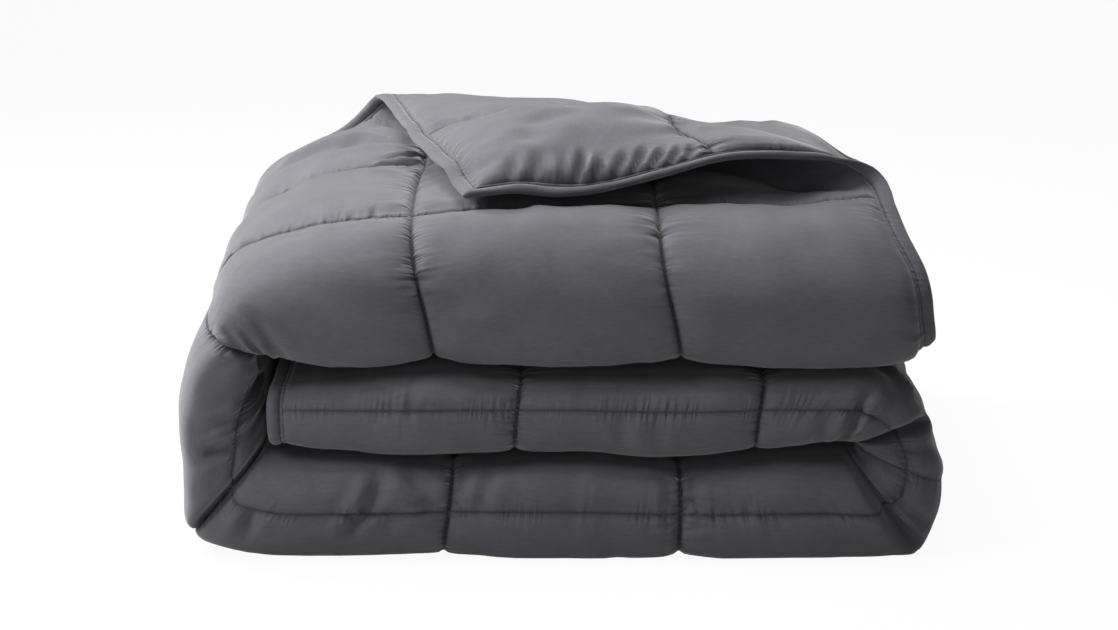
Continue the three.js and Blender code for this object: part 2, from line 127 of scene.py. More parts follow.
# Creases where the panels turn: how far the front folds are drawn back there, and where
# along they begin, towards the outer side.
MITRES = table(
    "at deep wide step outer",
    (3.02, 16, 0.036, 0, 2.5),
    (3.98, 20, 0.036, 0, 2.74),
    (6.75, 26, 0.030, 14, 2.80),
    (7.22, 26, 0.030, -14, 2.80),
)

SECOND_RISE, SECOND_DROOP = 14.0, 24.0
HEM_SWAY, UNEVEN = 3.0, 3.0
EDGE_BACK, EDGE_REACH = 12.0, 28.0
EDGE_BOW = table("at out", (0, 2), (0.3, 9), (0.6, 14), (0.8, 2), (0.9, -7), (1, -9))
MOUTH_LIFT = 13.0
SAG_AT, SAG_REACH, SAG_DEEP = 2.5, 0.6, 10.0

# The flap's line seen from above, its turn, and how it comes to rest.
FLAP_NORMAL = (0.636, 0.772)
FLAP_OFFSET = 276.7
FLAP_START = (-253.0, 567.0)
FLAP_LENGTH = 740.0
FLAP_TURN = table("at radius", (0.0, 17), (0.3, 19), (0.6, 29), (0.68, 24), (0.8, 21), (1.0, 16))
FLAP_SETTLE_FROM, FLAP_SETTLE_OVER = 100.0, 210.0
FLAP_REST_HEM, FLAP_REST_CROWN = 20.0, 36.0
FLAP_HEM = table("at lift", (0.0, -4), (0.3, -10), (0.6, -13), (0.9, -4), (1.2, 13),
                 (1.5, 15), (1.8, 8), (2.1, 0), (12.0, 0))
FLAP_HEM_REACH = 170.0
FLAP_SQUEEZE, FLAP_SQUEEZE_REACH = 0.4, 70.0
HEM_REACH = 60.0
TOP_FRONT, TOP_BACK = 309.0, 334.0
SHOULDER_X, SHOULDER_DROP = -150.0, 0.003


# ---- numbers -------------------------------------------------------------------------------
def blend(a, b, share):
    """The first value where the share is 0, the second where it is 1."""
    return a + (b - a) * share


def smooth(t):
    """0 up to 0, 1 from 1 on, and the cubic that is level at both ends between."""
    t = np.clip(t, 0, 1)
    return t * t * (3 - 2 * t)


def read(rows, name, at):
    """A table's column between its rows: the cubic whose slope at a row is the slope from
    the row before it to the row after it."""
    x, y = rows["at"], rows[name]
    before = np.r_[0, np.arange(len(x) - 1)]
    after = np.r_[np.arange(1, len(x)), len(x) - 1]
    slope = (y[after] - y[before]) / (x[after] - x[before])
    i = np.clip(np.searchsorted(x, at, side="right") - 1, 0, len(x) - 2)
    span = x[i + 1] - x[i]
    t = (at - x[i]) / span
    swing = t * (1 - t) * span * ((1 - t) * slope[i] - t * slope[i + 1])
    return y[i] * (1 + 2 * t) * (1 - t) ** 2 + y[i + 1] * t * t * (3 - 2 * t) + swing


def ripple(x, y, seed):
    """Smooth noise from -1 to 1 with one swing for each unit of x and y: random values on
    a lattice, blended between its points by a smooth step."""
    lattice = np.random.default_rng(seed).uniform(-1, 1, (97, 97))
    i, j = np.floor(x).astype(int), np.floor(y).astype(int)
    u, v = smooth(x - i), smooth(y - j)
    near = blend(lattice[i % 97, j % 97], lattice[(i + 1) % 97, j % 97], u)
    far = blend(lattice[i % 97, (j + 1) % 97], lattice[(i + 1) % 97, (j + 1) % 97], u)
    return blend(near, far, v)


# ---- the folded cloth ----------------------------------------------------------------------
def wrap(across, y, share):
    """The place across the bundle: on the straight line from the wrap's inner side to its
    outer side, at a share of the panel's thickness."""
    depth = np.clip((y - FRONT_Y) / (BACK_Y - FRONT_Y), 0, 1)
    bridge = smooth(1 - np.abs(across - SAG_AT) / SAG_REACH) * np.sin(np.pi * depth)
    inner_x = read(SECTIONS, "inner_x", across)
    inner_z = read(SECTIONS, "inner_z", across) - SAG_DEEP * bridge
    outer_x = blend(read(SECTIONS, "outer_x", across), read(SECTIONS, "back_x", across), depth)
    outer_z = blend(read(SECTIONS, "outer_z", across), read(SECTIONS, "back_z", across), depth)
    bow = read(EDGE_BOW, "out", share) * smooth(1 - across / 0.8)
    return blend(inner_x, outer_x, share) + bow, blend(inner_z, outer_z, share)


def panel_thickness(across, y):
    """Distance between the wrap's inner and outer side."""
    inner_x, inner_z = wrap(across, y, 0.0)
    outer_x, outer_z = wrap(across, y, 1.0)
    return np.hypot(outer_x - inner_x, outer_z - inner_z)


def quarter(a, b):
    """Length of a quarter ellipse."""
    return np.pi / 2 * np.sqrt((a * a + b * b) / 2)


def turn(nose_y, lift, tall, deep, upright, distance, side, facing):
    """A rounded turn about the height "lift": upright beside its nose, then a quarter of an
    ellipse above and below. Gives depth, lift and the face's normal at a distance from the
    nose."""
    high = tall - upright
    arc = quarter(high, deep)
    share = np.clip((np.abs(distance) - upright) / arc, 0, 1)
    bow = (arc / high - arc / deep) / (2 * np.pi)
    angle = np.pi / 2 * share + bow * np.sin(np.pi * share)
    up = np.where(distance < 0, -1, 1)
    size = np.hypot(high * np.cos(angle), deep * np.sin(angle))
    return (nose_y - side * deep * (1 - np.cos(angle)),
            lift + np.clip(distance, -upright, upright) + up * high * np.sin(angle),
            facing * side * high * np.cos(angle) / size,
            facing * up * deep * np.sin(angle) / size)


def length_path(across, along, full):
    """The quartered length as a back-and-forth path of the cloth's middle: top sheet, front
    turn, lower sheet, back turn, third sheet, inner front turn, second sheet."""
    pitch = full / SHEETS
    half = (pitch - LAYER_GAP) / 2
    run = along * BOX_LONG
    to_front = read(LENGTHS, "boxes_to_front", across) * BOX_LONG
    to_back = BOXES_LONG / 2 * BOX_LONG
    to_inside = 3 * BOXES_LONG / 4 * BOX_LONG
    drawn = sum(deep * np.exp(-((across - at) / wide) ** 2) * smooth((along - outer) / 0.12)
                + step * smooth(0.5 + (across - at) / (4 * wide))
                for at, deep, wide, step, outer in zip(*MITRES.values()))
    nose_y = read(LENGTHS, "front_y", across) + half + drawn
    nose = read(LENGTHS, "nose", across)
    tall_above, tall_below = (3.5 - nose) * pitch, (nose - 0.5) * pitch
    above, below = read(LENGTHS, "round", across), read(LENGTHS, "tuck", across)
    upright_above = tall_above * read(LENGTHS, "blunt_above", across)
    upright_below = tall_below * read(LENGTHS, "blunt_below", across)
    reach_above = upright_above + quarter(tall_above - upright_above, above)
    reach_below = upright_below + quarter(tall_below - upright_below, below)
    is_above = run < to_front
    fold_y = read(LENGTHS, "fold_y", across) - half
    inside_y, inside_deep = nose_y + 1.3 * pitch, 0.8 * pitch
    reach_back, reach_inside = quarter(0.5 * pitch, 0.5 * pitch), quarter(0.5 * pitch, inside_deep)

    def flat(start, end, y_start, y_end, lift, facing):
        y = blend(y_start, y_end, (run - start) / (end - start))
        return y, lift, 0 * y, facing + 0 * y

    pieces = [
        flat(0, to_front - reach_above, read(LENGTHS, "hem_y", across), nose_y + above,
             3.5 * pitch, 1),
        turn(nose_y, nose * pitch, np.where(is_above, tall_above, tall_below),
             np.where(is_above, above, below),
             np.where(is_above, upright_above, upright_below), to_front - run, -1, 1),
        flat(to_front + reach_below, to_back - reach_back, nose_y + below,
             fold_y - 0.5 * pitch, 0.5 * pitch, -1),
        turn(fold_y, pitch, 0.5 * pitch, 0.5 * pitch, 0 * pitch, run - to_back, 1, 1),
        flat(to_back + reach_back, to_inside - reach_inside, fold_y - 0.5 * pitch,
             inside_y + inside_deep, 1.5 * pitch, 1),
        turn(inside_y, 2 * pitch, 0.5 * pitch, inside_deep, 0 * pitch, run - to_inside, -1, -1),
        flat(to_inside + reach_inside, BOXES_LONG * BOX_LONG, inside_y + inside_deep,
             read(LENGTHS, "second_hem_y", across), 2.5 * pitch, -1),
    ]
    ends = [to_front - reach_above, to_front + reach_below, to_back - reach_back,
            to_back + reach_back, to_inside - reach_inside, to_inside + reach_inside]
    tests = [run < end for end in ends] + [run >= ends[-1]]
    return [np.select(tests, [piece[k] + 0 * run for piece in pieces]) for k in range(4)]


def top_height(x, y):
    """Height of the top sheet's middle where the flap comes down."""
    depth = np.clip((y - FRONT_Y) / (BACK_Y - FRONT_Y), 0, 1)
    fall = SHOULDER_DROP * np.maximum(0, SHOULDER_X - x) ** 2
    return blend(TOP_FRONT, TOP_BACK, depth) - fall


def turn_flap(middle, offset, hem, across, along):
    """Turns the top sheet's corner over the flap's line: past the line the cloth runs round
    half a circle and comes back above itself, and its offset turns with it."""
    nx, ny = FLAP_NORMAL
    past = middle[..., 0] * nx + middle[..., 1] * ny - FLAP_OFFSET
    foot_x, foot_y = middle[..., 0] - nx * past, middle[..., 1] - ny * past
    line = np.clip(np.hypot(foot_x - FLAP_START[0], foot_y - FLAP_START[1]) / FLAP_LENGTH, 0, 1)
    radius = read(FLAP_TURN, "radius", line)
    half_turn = np.pi * radius / 2
    away = np.abs(past - half_turn) / (half_turn + FLAP_SQUEEZE_REACH)
    size = np.maximum(np.linalg.norm(offset, axis=-1), 1e-6)
    thin = size * (1 - FLAP_SQUEEZE * smooth(1.4 * (1 - away)))
    thin = np.where(size > SEAM_THICK, np.maximum(SEAM_THICK, thin), size)
    offset = offset * (thin / size)[..., None]
    angle = np.clip(past / radius, 0, np.pi)
    back = np.maximum(0, past - np.pi * radius)
    slide = radius * np.sin(angle) - back
    x, y = foot_x + nx * slide, foot_y + ny * slide
    ground = blend(middle[..., 2], top_height(x, y), smooth(past / (np.pi * radius)))
    rest = blend(FLAP_REST_HEM, FLAP_REST_CROWN, smooth(hem / HEM_REACH))
    settle = smooth((back - FLAP_SETTLE_FROM) / FLAP_SETTLE_OVER)
    wave = read(FLAP_HEM, "lift", along) * smooth(1 - across * BOX_WIDE / FLAP_HEM_REACH)
    z = ground + blend(radius * (1 - np.cos(angle)), rest, settle) + wave * smooth((past - 20) / 60)
    sideways = offset[..., 0] * nx + offset[..., 1] * ny
    side = sideways * np.cos(angle) - offset[..., 2] * np.sin(angle)
    up = sideways * np.sin(angle) + offset[..., 2] * np.cos(angle)
    turned = np.stack([x + offset[..., 0] + nx * (side - sideways),
                       y + offset[..., 1] + ny * (side - sideways), z + up], axis=-1)
    return np.where((past > 0)[..., None], turned, middle + offset)


def hem_sway(across, along):
    """How far the thin hems wave up and down between the boxes that pull at them."""
    from_side = np.minimum(across, BOXES_WIDE - across) * BOX_WIDE
    from_end = np.minimum(along, BOXES_LONG - along) * BOX_LONG
    side = ripple(along * BOX_LONG / 46, across, 71) * np.exp(-(from_side / 30) ** 2)
    end = ripple(across * BOX_WIDE / 46, along, 72) * np.exp(-(from_end / 30) ** 2)
    return HEM_SWAY * (side * smooth(from_end / 60) + end * smooth(from_side / 60))


def unevenness(points):
    """A slow shift of everything near a point, so that no fold runs quite straight."""
    x, y, z = points[..., 0], points[..., 1], points[..., 2]
    lifted = smooth(z / 60)
    return UNEVEN * np.stack([ripple(z / 70 + 9, y / 190 + 9, 81),
                              ripple(x / 150 + 9, z / 80 + 9, 82),
                              ripple(x / 120 + 9, y / 170 + 9, 83) * lifted], axis=-1)


def edge_turn(across, along):
    """How far the top panel's right edge turns back from its face."""
    shows = smooth((along - 1.85) / 0.3) * smooth((3.5 - along) / 0.3)
    return EDGE_BACK * shows * smooth(1 - across * BOX_WIDE / EDGE_REACH) ** 1.5


def folded(across, along, rise):
    """Points of the folded cloth, in millimetres in the frame. "rise" is the distance from
    the cloth's middle towards its face."""
    across, along, rise = np.broadcast_arrays(*np.atleast_1d(across, along, rise))
    across, along = across.astype(float), along.astype(float)
    rise = rise + hem_sway(across, along) - edge_turn(across, along)
    first_y = length_path(across, along, 1.0)[0]
    full = panel_thickness(across, first_y)
    y, lift, normal_y, normal_lift = length_path(across, along, full)

    def place(y, lift):
        x, z = wrap(across, y, lift / full)
        return np.stack([x, y, z], axis=-1)

    middle = place(y, lift)
    points = place(y + rise * normal_y, lift + rise * normal_lift)
    hem = np.minimum(across * BOX_WIDE, along * BOX_LONG)
    turned = turn_flap(middle, points - middle, hem, across, along)
    top_sheet = (along < read(LENGTHS, "boxes_to_front", across)) & (across < 3)
    points = np.where(top_sheet[..., None], turned, points)
    rise_share = smooth((along - 10.4) / 1.5) * smooth((2.4 - across) / 1.0)
    droop = SECOND_DROOP * smooth(1 - across * BOX_WIDE / 70)
    points[..., 2] += (SECOND_RISE - droop) * rise_share
    beside_flap = smooth(1 - across / 0.5) * np.exp(-((along - 1.95) / 0.2) ** 2)
    points[..., 2] += MOUTH_LIFT * beside_flap
    points = points + unevenness(points) - np.array([MIDDLE_X, MIDDLE_Y, 0])
    points[..., 2] = np.maximum(0, points[..., 2])
    return points


# ---- the quilting --------------------------------------------------------------------------
# Creases, listed one by one: a line over the flat cloth from one place to another, its width and
# depth (a ridge where that is below 0), and the side it shows on, 1 for the face.
CREASES = table(
    "across along to_across to_along wide deep side",
    (2.62, 0.57, 2.30, 0.67, 11, 5.0, 1),           # top panel, back boxes
    (2.34, 0.66, 2.08, 0.71, 9, 4.0, 1),
    (2.62, 0.50, 2.30, 0.59, 10, -3.0, 1),
    (2.270, 0.06, 2.090, 0.44, 4, 9.0, 1),          # gathers beside the flap's hem
    (2.230, 0.03, 2.110, 0.28, 5, -6.0, 1),
    (2.170, 0.08, 2.070, 0.24, 4, 8.0, 1),
    (2.320, 0.22, 2.080, 0.62, 5, -4.0, 1),
    (2.290, 0.46, 2.060, 0.70, 5, 4.0, 1),
    (2.140, 0.93, 2.015, 0.86, 4, 8.0, 1),
    (2.200, 0.98, 2.025, 0.96, 5, -5.0, 1),
    (2.130, 1.02, 2.010, 1.07, 4, 7.0, 1),
    (2.240, 1.19, 2.040, 1.23, 6, 4.0, 1),
    (2.180, 1.33, 2.040, 1.36, 5, 4.0, 1),
    (2.900, 2.61, 2.945, 2.72, 6, 9.0, 1),         # pleats at the top left corner
    (2.862, 2.61, 2.912, 2.73, 6, -3.0, 1),
    (2.938, 2.60, 2.980, 2.70, 6, -3.0, 1),
    (2.800, 2.60, 2.860, 2.76, 7, 3.0, 1),
    (2.780, 2.58, 2.830, 2.80, 7, -3.0, 1),
    (2.720, 2.55, 2.700, 2.74, 8, 4.0, 1),
    (0.06, 0.205, 0.17, 0.225, 5, 4.0, -1),         # along the flap's right hem
    (0.06, 0.310, 0.18, 0.335, 6, 4.5, -1),
    (0.06, 0.405, 0.15, 0.415, 5, -3.0, -1),
    (0.07, 0.515, 0.19, 0.550, 4.5, 8.0, -1),
    (0.07, 0.560, 0.16, 0.585, 4, -4.0, -1),
    (0.07, 0.605, 0.15, 0.630, 4, 6.0, -1),
    (0.07, 0.690, 0.18, 0.750, 4.5, 6.0, -1),
    (0.07, 0.760, 0.20, 0.840, 4.5, 6.5, -1),
    (0.07, 0.840, 0.18, 0.920, 4, 6.0, -1),
    (0.07, 0.925, 0.17, 0.990, 4, 5.0, -1),
    (0.06, 1.000, 0.18, 1.050, 5, 4.0, -1),
    (0.36, 1.05, 0.62, 1.10, 8, 4.0, -1),
    (0.55, 0.55, 0.80, 0.35, 16, -3.0, -1),
    (0.30, 0.30, 0.55, 0.45, 14, 3.0, -1),
    (0.42, 1.62, 0.19, 1.71, 9, -8.0, 1),           # ridge under the flap
    (0.20, 1.70, 0.07, 1.80, 8, -7.0, 1),
    (0.46, 1.70, 0.22, 1.79, 9, 5.0, 1),
    (3.660, 2.85, 3.740, 3.02, 8, 7.0, 1),          # left turn
    (3.595, 2.86, 3.615, 2.93, 8, -4.0, 1),
    (3.400, 2.85, 3.430, 2.92, 9, 3.0, 1),
    (3.440, 2.98, 3.340, 3.26, 13, 9.0, 1),
    (3.240, 3.00, 3.180, 3.25, 14, -5.0, 1),
    (3.640, 3.02, 3.600, 3.28, 14, -5.0, 1),
    (4.176, 2.90, 4.148, 2.99, 6, 9.0, 1),         # bottom panel
    (4.130, 2.92, 4.105, 2.97, 7, -3.0, 1),
    (4.235, 2.92, 4.250, 2.98, 8, -2.5, 1),
    (4.540, 2.93, 4.600, 3.10, 8, -5.0, 1),
    (4.590, 2.93, 4.660, 3.12, 7, 6.0, 1),
    (4.670, 2.94, 4.720, 3.06, 8, -3.0, 1),
    (4.785, 3.13, 4.940, 3.02, 7, 5.0, 1),
    (4.700, 3.15, 4.860, 3.03, 8, -4.0, 1),
    (4.620, 3.12, 4.700, 3.03, 7, 3.0, 1),
    (5.060, 3.16, 5.030, 3.03, 7, 4.5, 1),
    (5.180, 3.14, 5.120, 3.03, 7, 3.5, 1),
    (5.940, 3.12, 5.970, 3.02, 6, 4.0, 1),
    (6.060, 3.12, 6.030, 3.02, 6, 4.0, 1),
    (7.545, 2.93, 7.425, 3.15, 6, 8.0, 1),          # middle panel
    (7.480, 2.93, 7.370, 3.13, 7, -5.0, 1),
    (7.480, 2.62, 7.350, 2.82, 8, -6.0, 1),
    (7.660, 3.02, 7.600, 3.16, 8, 4.0, 1),
    (8.420, 3.03, 8.400, 3.13, 7, 3.5, 1),
    (8.560, 3.03, 8.550, 3.12, 6, 3.5, 1),
    (6.805, 3.05, 6.850, 2.84, 5, 6.0, 1),          # right turn
    (6.765, 2.92, 6.780, 2.80, 5, 6.0, 1),
    (7.120, 2.76, 7.130, 3.02, 8, 4.0, 1),
)

PUCKERS, SMALL_PUCKERS, DENTS = 3.0, 1.5, 2.2
TAUT_SEAM, TAUT_FROM = 3.0, 3.9     # the seam drawn flat along the front of the turned panels
TAUT_TURN = 7.0                     # and the one across the right turn
LEFT_MITRE, CALM_REACH = 4.0, 0.16  # few puckers on either side of this seam, at the front
FLAP_SEAM_SHIFT = 0.11              # the flap's seam meets its hem this much further along


def box_share(at, boxes, size):
    """Place in a quilted box, from 0 to 1, where the outer boxes start at the rim."""
    box = np.clip(np.floor(at), 0, boxes - 1)
    start = np.where(box == 0, RIM / size, box)
    end = np.where(box == boxes - 1, boxes - RIM / size, box + 1)
    return np.clip((at - start) / (end - start), 0, 1)


def crown(share):
    """Height of a filled box across it, 1 in its middle: a power of a parabola."""
    return np.maximum(0, 4 * share * (1 - share)) ** CROWN_SHAPE


def creases(across, along, side):
    """The listed creases: each is a trough between two low shoulders, a sum of bell
    curves of the distance from its line, and fades out at both ends."""
    total = 0 * across
    for a0, l0, a1, l1, wide, deep, face in zip(*CREASES.values()):
        if face != side:
            continue
        run_a, run_l = (a1 - a0) * BOX_WIDE, (l1 - l0) * BOX_LONG
        from_a, from_l = (across - a0) * BOX_WIDE, (along - l0) * BOX_LONG
        length = np.hypot(run_a, run_l)
        place = (from_a * run_a + from_l * run_l) / length
        gap = np.abs(from_a * run_l - from_l * run_a) / length / wide
        ends = smooth(place / 18 + 0.5) * smooth((length - place) / 18 + 0.5)
        total += deep * ends * (0.35 * np.exp(-(gap - 2) ** 2) - np.exp(-gap ** 2))
    return total


def puckers(gap, seam, run, other_gap, number):
    """Folds that run away from a seam: noise along it in two sizes, nothing on the seam
    itself, strongest some way beside it and fading out; "gap" is the distance from it."""
    lean = run + 0.3 * gap * ripple(run / 70, seam * 5.1, number)
    strength = 0.55 + 0.45 * ripple(run / 120, seam * 2.3, number + 3)
    broad = ripple(lean / 21, seam * 9.1 + gap / 90, number + 2) * gap / 24 * np.exp(1 - gap / 24)
    small = ripple(lean / 10, seam * 7.7 + gap / 60, number + 4) * gap / 9 * np.exp(1 - gap / 9)
    return (PUCKERS * broad + SMALL_PUCKERS * small) * strength * smooth(other_gap / 14)


def seam_shift(across, along):
    """How much further along the flap's seam lies than its count, in boxes."""
    return FLAP_SEAM_SHIFT * smooth(1 - across / 1.1) * smooth(1 - np.abs(along - 1.05) / 0.8)


def quilt_rise(across, along, side):
    """Distance of the quilted cloth's face (side 1) or back (side -1) from its middle."""
    creased = creases(across, along, side)
    along = along - seam_shift(across, along)
    share_a = box_share(across, BOXES_WIDE, BOX_WIDE)
    share_l = box_share(along, BOXES_LONG, BOX_LONG)
    taut = smooth((across - TAUT_FROM) / 0.2) * smooth(1 - np.abs(along - TAUT_SEAM) / 0.5)
    pinch = 1 - 0.35 * np.exp(-(np.abs(along - TAUT_SEAM) * BOX_LONG / 5) ** 2)
    turned = smooth(1.6 - 3 * np.abs(across - TAUT_TURN)) * smooth(1 - np.abs(along - 3) / 0.7)
    flat_turn = 0.8 - 0.25 * np.exp(-(np.abs(across - TAUT_TURN) * BOX_WIDE / 5) ** 2)
    swell = blend(crown(share_a), flat_turn, turned) * blend(crown(share_l), pinch, taut)
    full = panel_thickness(across, length_path(across, along, 1.0)[0]) / SHEETS - LAYER_GAP
    gap_a = np.minimum(share_a, 1 - share_a) * BOX_WIDE
    gap_l = np.minimum(share_l, 1 - share_l) * BOX_LONG
    run_a, run_l = across * BOX_WIDE, along * BOX_LONG
    seed, pulled = (10, 1.0) if side > 0 else (30, 0.25)
    at_mitre = np.exp(-((across - LEFT_MITRE) / CALM_REACH) ** 2)
    calm = 1 - 0.85 * at_mitre * smooth(1.6 - 3 * np.abs(along - TAUT_SEAM))
    folds = (puckers(gap_a, np.round(across), run_l, gap_l, seed) * pulled * calm
             + puckers(gap_l, np.round(along), run_a, gap_a, seed + 5) * (1 - 0.5 * taut)
             + DENTS * swell * ripple(run_a / 80, run_l / 60, seed + 10)
             + creased * smooth(np.minimum(gap_a, gap_l) / 4))
    return side * np.maximum(SEAM_THICK / 2, blend(SEAM_THICK, full, swell) / 2 + folds)


# ---- meshes --------------------------------------------------------------------------------
TOP_CELL, BASE_CELL = 5.6, 6.4  # between grid lines where nothing bends
PARTING = 4.0                   # the seam where the quilting's two meshes meet


def need_across(across):
    """How finely the cloth is cut across: more beside the seams and at the mitres."""
    from_seam = np.abs(across - np.round(across)) * BOX_WIDE
    mitres = sum(1.6 * np.exp(-((across - at) * BOX_WIDE / 22) ** 2) for at in MITRES["at"])
    return 0.95 + 0.5 * np.exp(-(from_seam / 16) ** 2) + mitres


def need_along(along, top):
    """How finely the cloth is cut along: more where it shows, on the top and round the
    front roll ("top") or on the front of the turned panels alone, and at the back fold."""
    from_seam = np.abs(along - np.round(along)) * BOX_LONG
    front = smooth((3.75 - along) / 0.3) * smooth((along - 2.3) / 0.2)
    shows = np.maximum(front, top * smooth((3.0 - along) / 0.3))
    back_fold = 0.5 * np.exp(-((along - 6) / 0.16) ** 2)
    hem = 0.45 * np.exp(-((along - 0.7) / 0.35) ** 2)
    pleats = 0.6 * np.exp(-((along - 2.68) / 0.12) ** 2)
    return (0.16 + back_fold + top * (hem + pleats)
            + shows * (0.84 + 0.6 * np.exp(-(from_seam / 16) ** 2)))


def grid_lines(first, last, size, cell, need):
    """Grid lines over the flat duvet in boxes, with one on every seam: each box is cut at
    even steps of the running total of its need."""
    lines = [np.array([first])]
    for box in range(int(first), int(np.ceil(last))):
        fine = np.linspace(max(box, first), min(box + 1, last), 401)
        total = np.r_[0, np.cumsum(need(fine[1:]))] * (fine[-1] - fine[0]) * size / 400 / cell
        count = int(np.ceil(total[-1]))
        lines.append(np.interp(np.arange(1, count + 1) / count * total[-1], total, fine))
    return np.concatenate(lines)


def make_mesh(name, points, faces, uv):
    """A smooth-shaded object from arrays: points in millimetres, faces of four corners,
    and a place on the flat cloth for every point."""
    mesh = bpy.data.meshes.new(name)
    mesh.vertices.add(len(points))
    mesh.vertices.foreach_set("co", (points * MM).astype(np.float32).ravel())
    mesh.loops.add(faces.size)
    mesh.loops.foreach_set("vertex_index", faces.astype(np.int32).ravel())
    mesh.polygons.add(len(faces))
    mesh.polygons.foreach_set("loop_start", np.arange(0, faces.size, 4, dtype=np.int32))
    mesh.update(calc_edges=True)
    mesh.polygons.foreach_set("use_smooth", np.ones(len(faces), dtype=bool))
    layer = mesh.uv_layers.new(name="flat_cloth")
    layer.data.foreach_set("uv", uv[faces.ravel()].astype(np.float32).ravel())
    piece = bpy.data.objects.new(name, mesh)
    bpy.context.scene.collection.objects.link(piece)
    return piece


def grid_faces(rows, columns, first=0):
    """Faces of a grid of points, row by row."""
    i, j = np.arange(rows - 1)[:, None], np.arange(columns - 1)[None, :]
    here, there = first + i * columns, first + (i + 1) * columns
    return np.stack([here + j, there + j, there + j + 1, here + j + 1], axis=-1).reshape(-1, 4)


def make_quilting(name, first, last, cell, top):
    """The quilted cloth between two places across: its face and its back over one grid,
    joined round the edge."""
    across = grid_lines(first, last, BOX_WIDE, cell, need_across)
    along = grid_lines(RIM / BOX_LONG, BOXES_LONG - RIM / BOX_LONG, BOX_LONG, cell,
                       lambda at: need_along(at, top))
    a, l = np.meshgrid(across, along, indexing="ij")
    face = folded(a, l, quilt_rise(a, l, 1)).reshape(-1, 3)
    back = folded(a, l, quilt_rise(a, l, -1)).reshape(-1, 3)
    rows, columns = a.shape
    count = rows * columns
    front = grid_faces(rows, columns)
    number = np.arange(count).reshape(rows, columns)
    edge = np.concatenate([number[:, 0], number[-1, 1:], number[-2::-1, -1], number[0, -2:0:-1]])
    after = np.roll(edge, -1)
    sides = np.stack([edge, edge + count, after + count, after], axis=-1)
    faces = np.concatenate([front, front[:, ::-1] + count, sides])
    flat = np.stack([a * BOX_WIDE, (l - seam_shift(a, l)) * BOX_LONG], axis=-1) * MM
    uv = np.tile(flat.reshape(-1, 2), (2, 1))
    return make_mesh(name, np.concatenate([face, back]), faces, uv)


def rim_route(step):
    """Counts across and along at even steps round the outer edge, corner to corner."""
    wide, long = BOXES_WIDE * BOX_WIDE, BOXES_LONG * BOX_LONG
    sides = [(0, 0, 1, 0, wide), (1, 0, 1, 1, long), (1, 1, 0, 1, wide), (0, 1, 0, 0, long)]
    route = []
    for a0, l0, a1, l1, length in sides:
        t = np.arange(0, 1, step / length)[:, None]
        start, end = np.array([a0, l0]), np.array([a1, l1])
        route.append((start + (end - start) * t) * [BOXES_WIDE, BOXES_LONG])
    return np.concatenate(route)


STITCH_LINE = 12.0              # the binding's stitches, from the outer edge


def binding_half(depth):
    """Half the binding's thickness at a depth from the outer edge: a round bead up to its
    stitches, then a low welt up to its lip."""
    bead = np.sin(np.pi * np.clip(depth / STITCH_LINE, 0, 1)) ** 0.6 * BINDING_THICK / 2
    welt = 1.5 + 1.1 * np.sin(np.pi * np.clip((depth - STITCH_LINE) / 4, 0, 1))
    return np.where(depth < STITCH_LINE, np.maximum(bead, 1.5 * smooth(depth / 2)), welt)


def edge_places(outer, depth):
    """Counts across and along at a depth inside every place of the outer edge."""
    size = np.array([BOXES_WIDE, BOXES_LONG])
    reach = np.array([BINDING_WIDE / BOX_WIDE, BINDING_WIDE / BOX_LONG])
    inner = np.clip(outer, reach, size - reach)
    share = depth / BINDING_WIDE
    return outer[:, None, :] + (inner - outer)[:, None, :] * share[None, :, None]


def make_binding():
    """The strip folded over the hems: its half thickness mirrored on both faces of the
    cloth, open towards the quilting and with a thin wall, carried round the edge."""
    step, wall = 7.0, 0.8
    outer = rim_route(step)
    depth = np.array([0, 0.4, 1.2, 2.6, 4.4, 6, 8, 9.8, 11.2, 12, 12.8, 14, 15.2, 16])
    lining = depth[[13, 9, 6, 3]]
    half = binding_half(depth)
    thin = np.maximum(0.3, binding_half(lining) - wall)
    section = np.r_[depth[::-1], depth[1:], lining, lining[::-1]]
    rise = np.r_[half[::-1], -half[1:], -thin, thin[::-1]]
    run = np.arange(len(outer))[:, None] * step
    puff = 1 + 0.14 * ripple(run / 15, section[None, :] / 7, 51) * smooth(section / 5)
    place = edge_places(outer, section)
    points = folded(place[..., 0], place[..., 1], rise * puff)
    rows, columns = points.shape[:2]
    i, j = np.arange(rows)[:, None], np.arange(columns)[None, :]
    after, beside = (i + 1) % rows, (j + 1) % columns
    faces = np.stack([i * columns + beside, after * columns + beside,
                      after * columns + j, i * columns + j], axis=-1).reshape(-1, 4)
    flat = np.stack(np.broadcast_arrays(section[None, :], run), axis=-1) * MM
    return make_mesh("hem_binding", points.reshape(-1, 3), faces, flat.reshape(-1, 2))


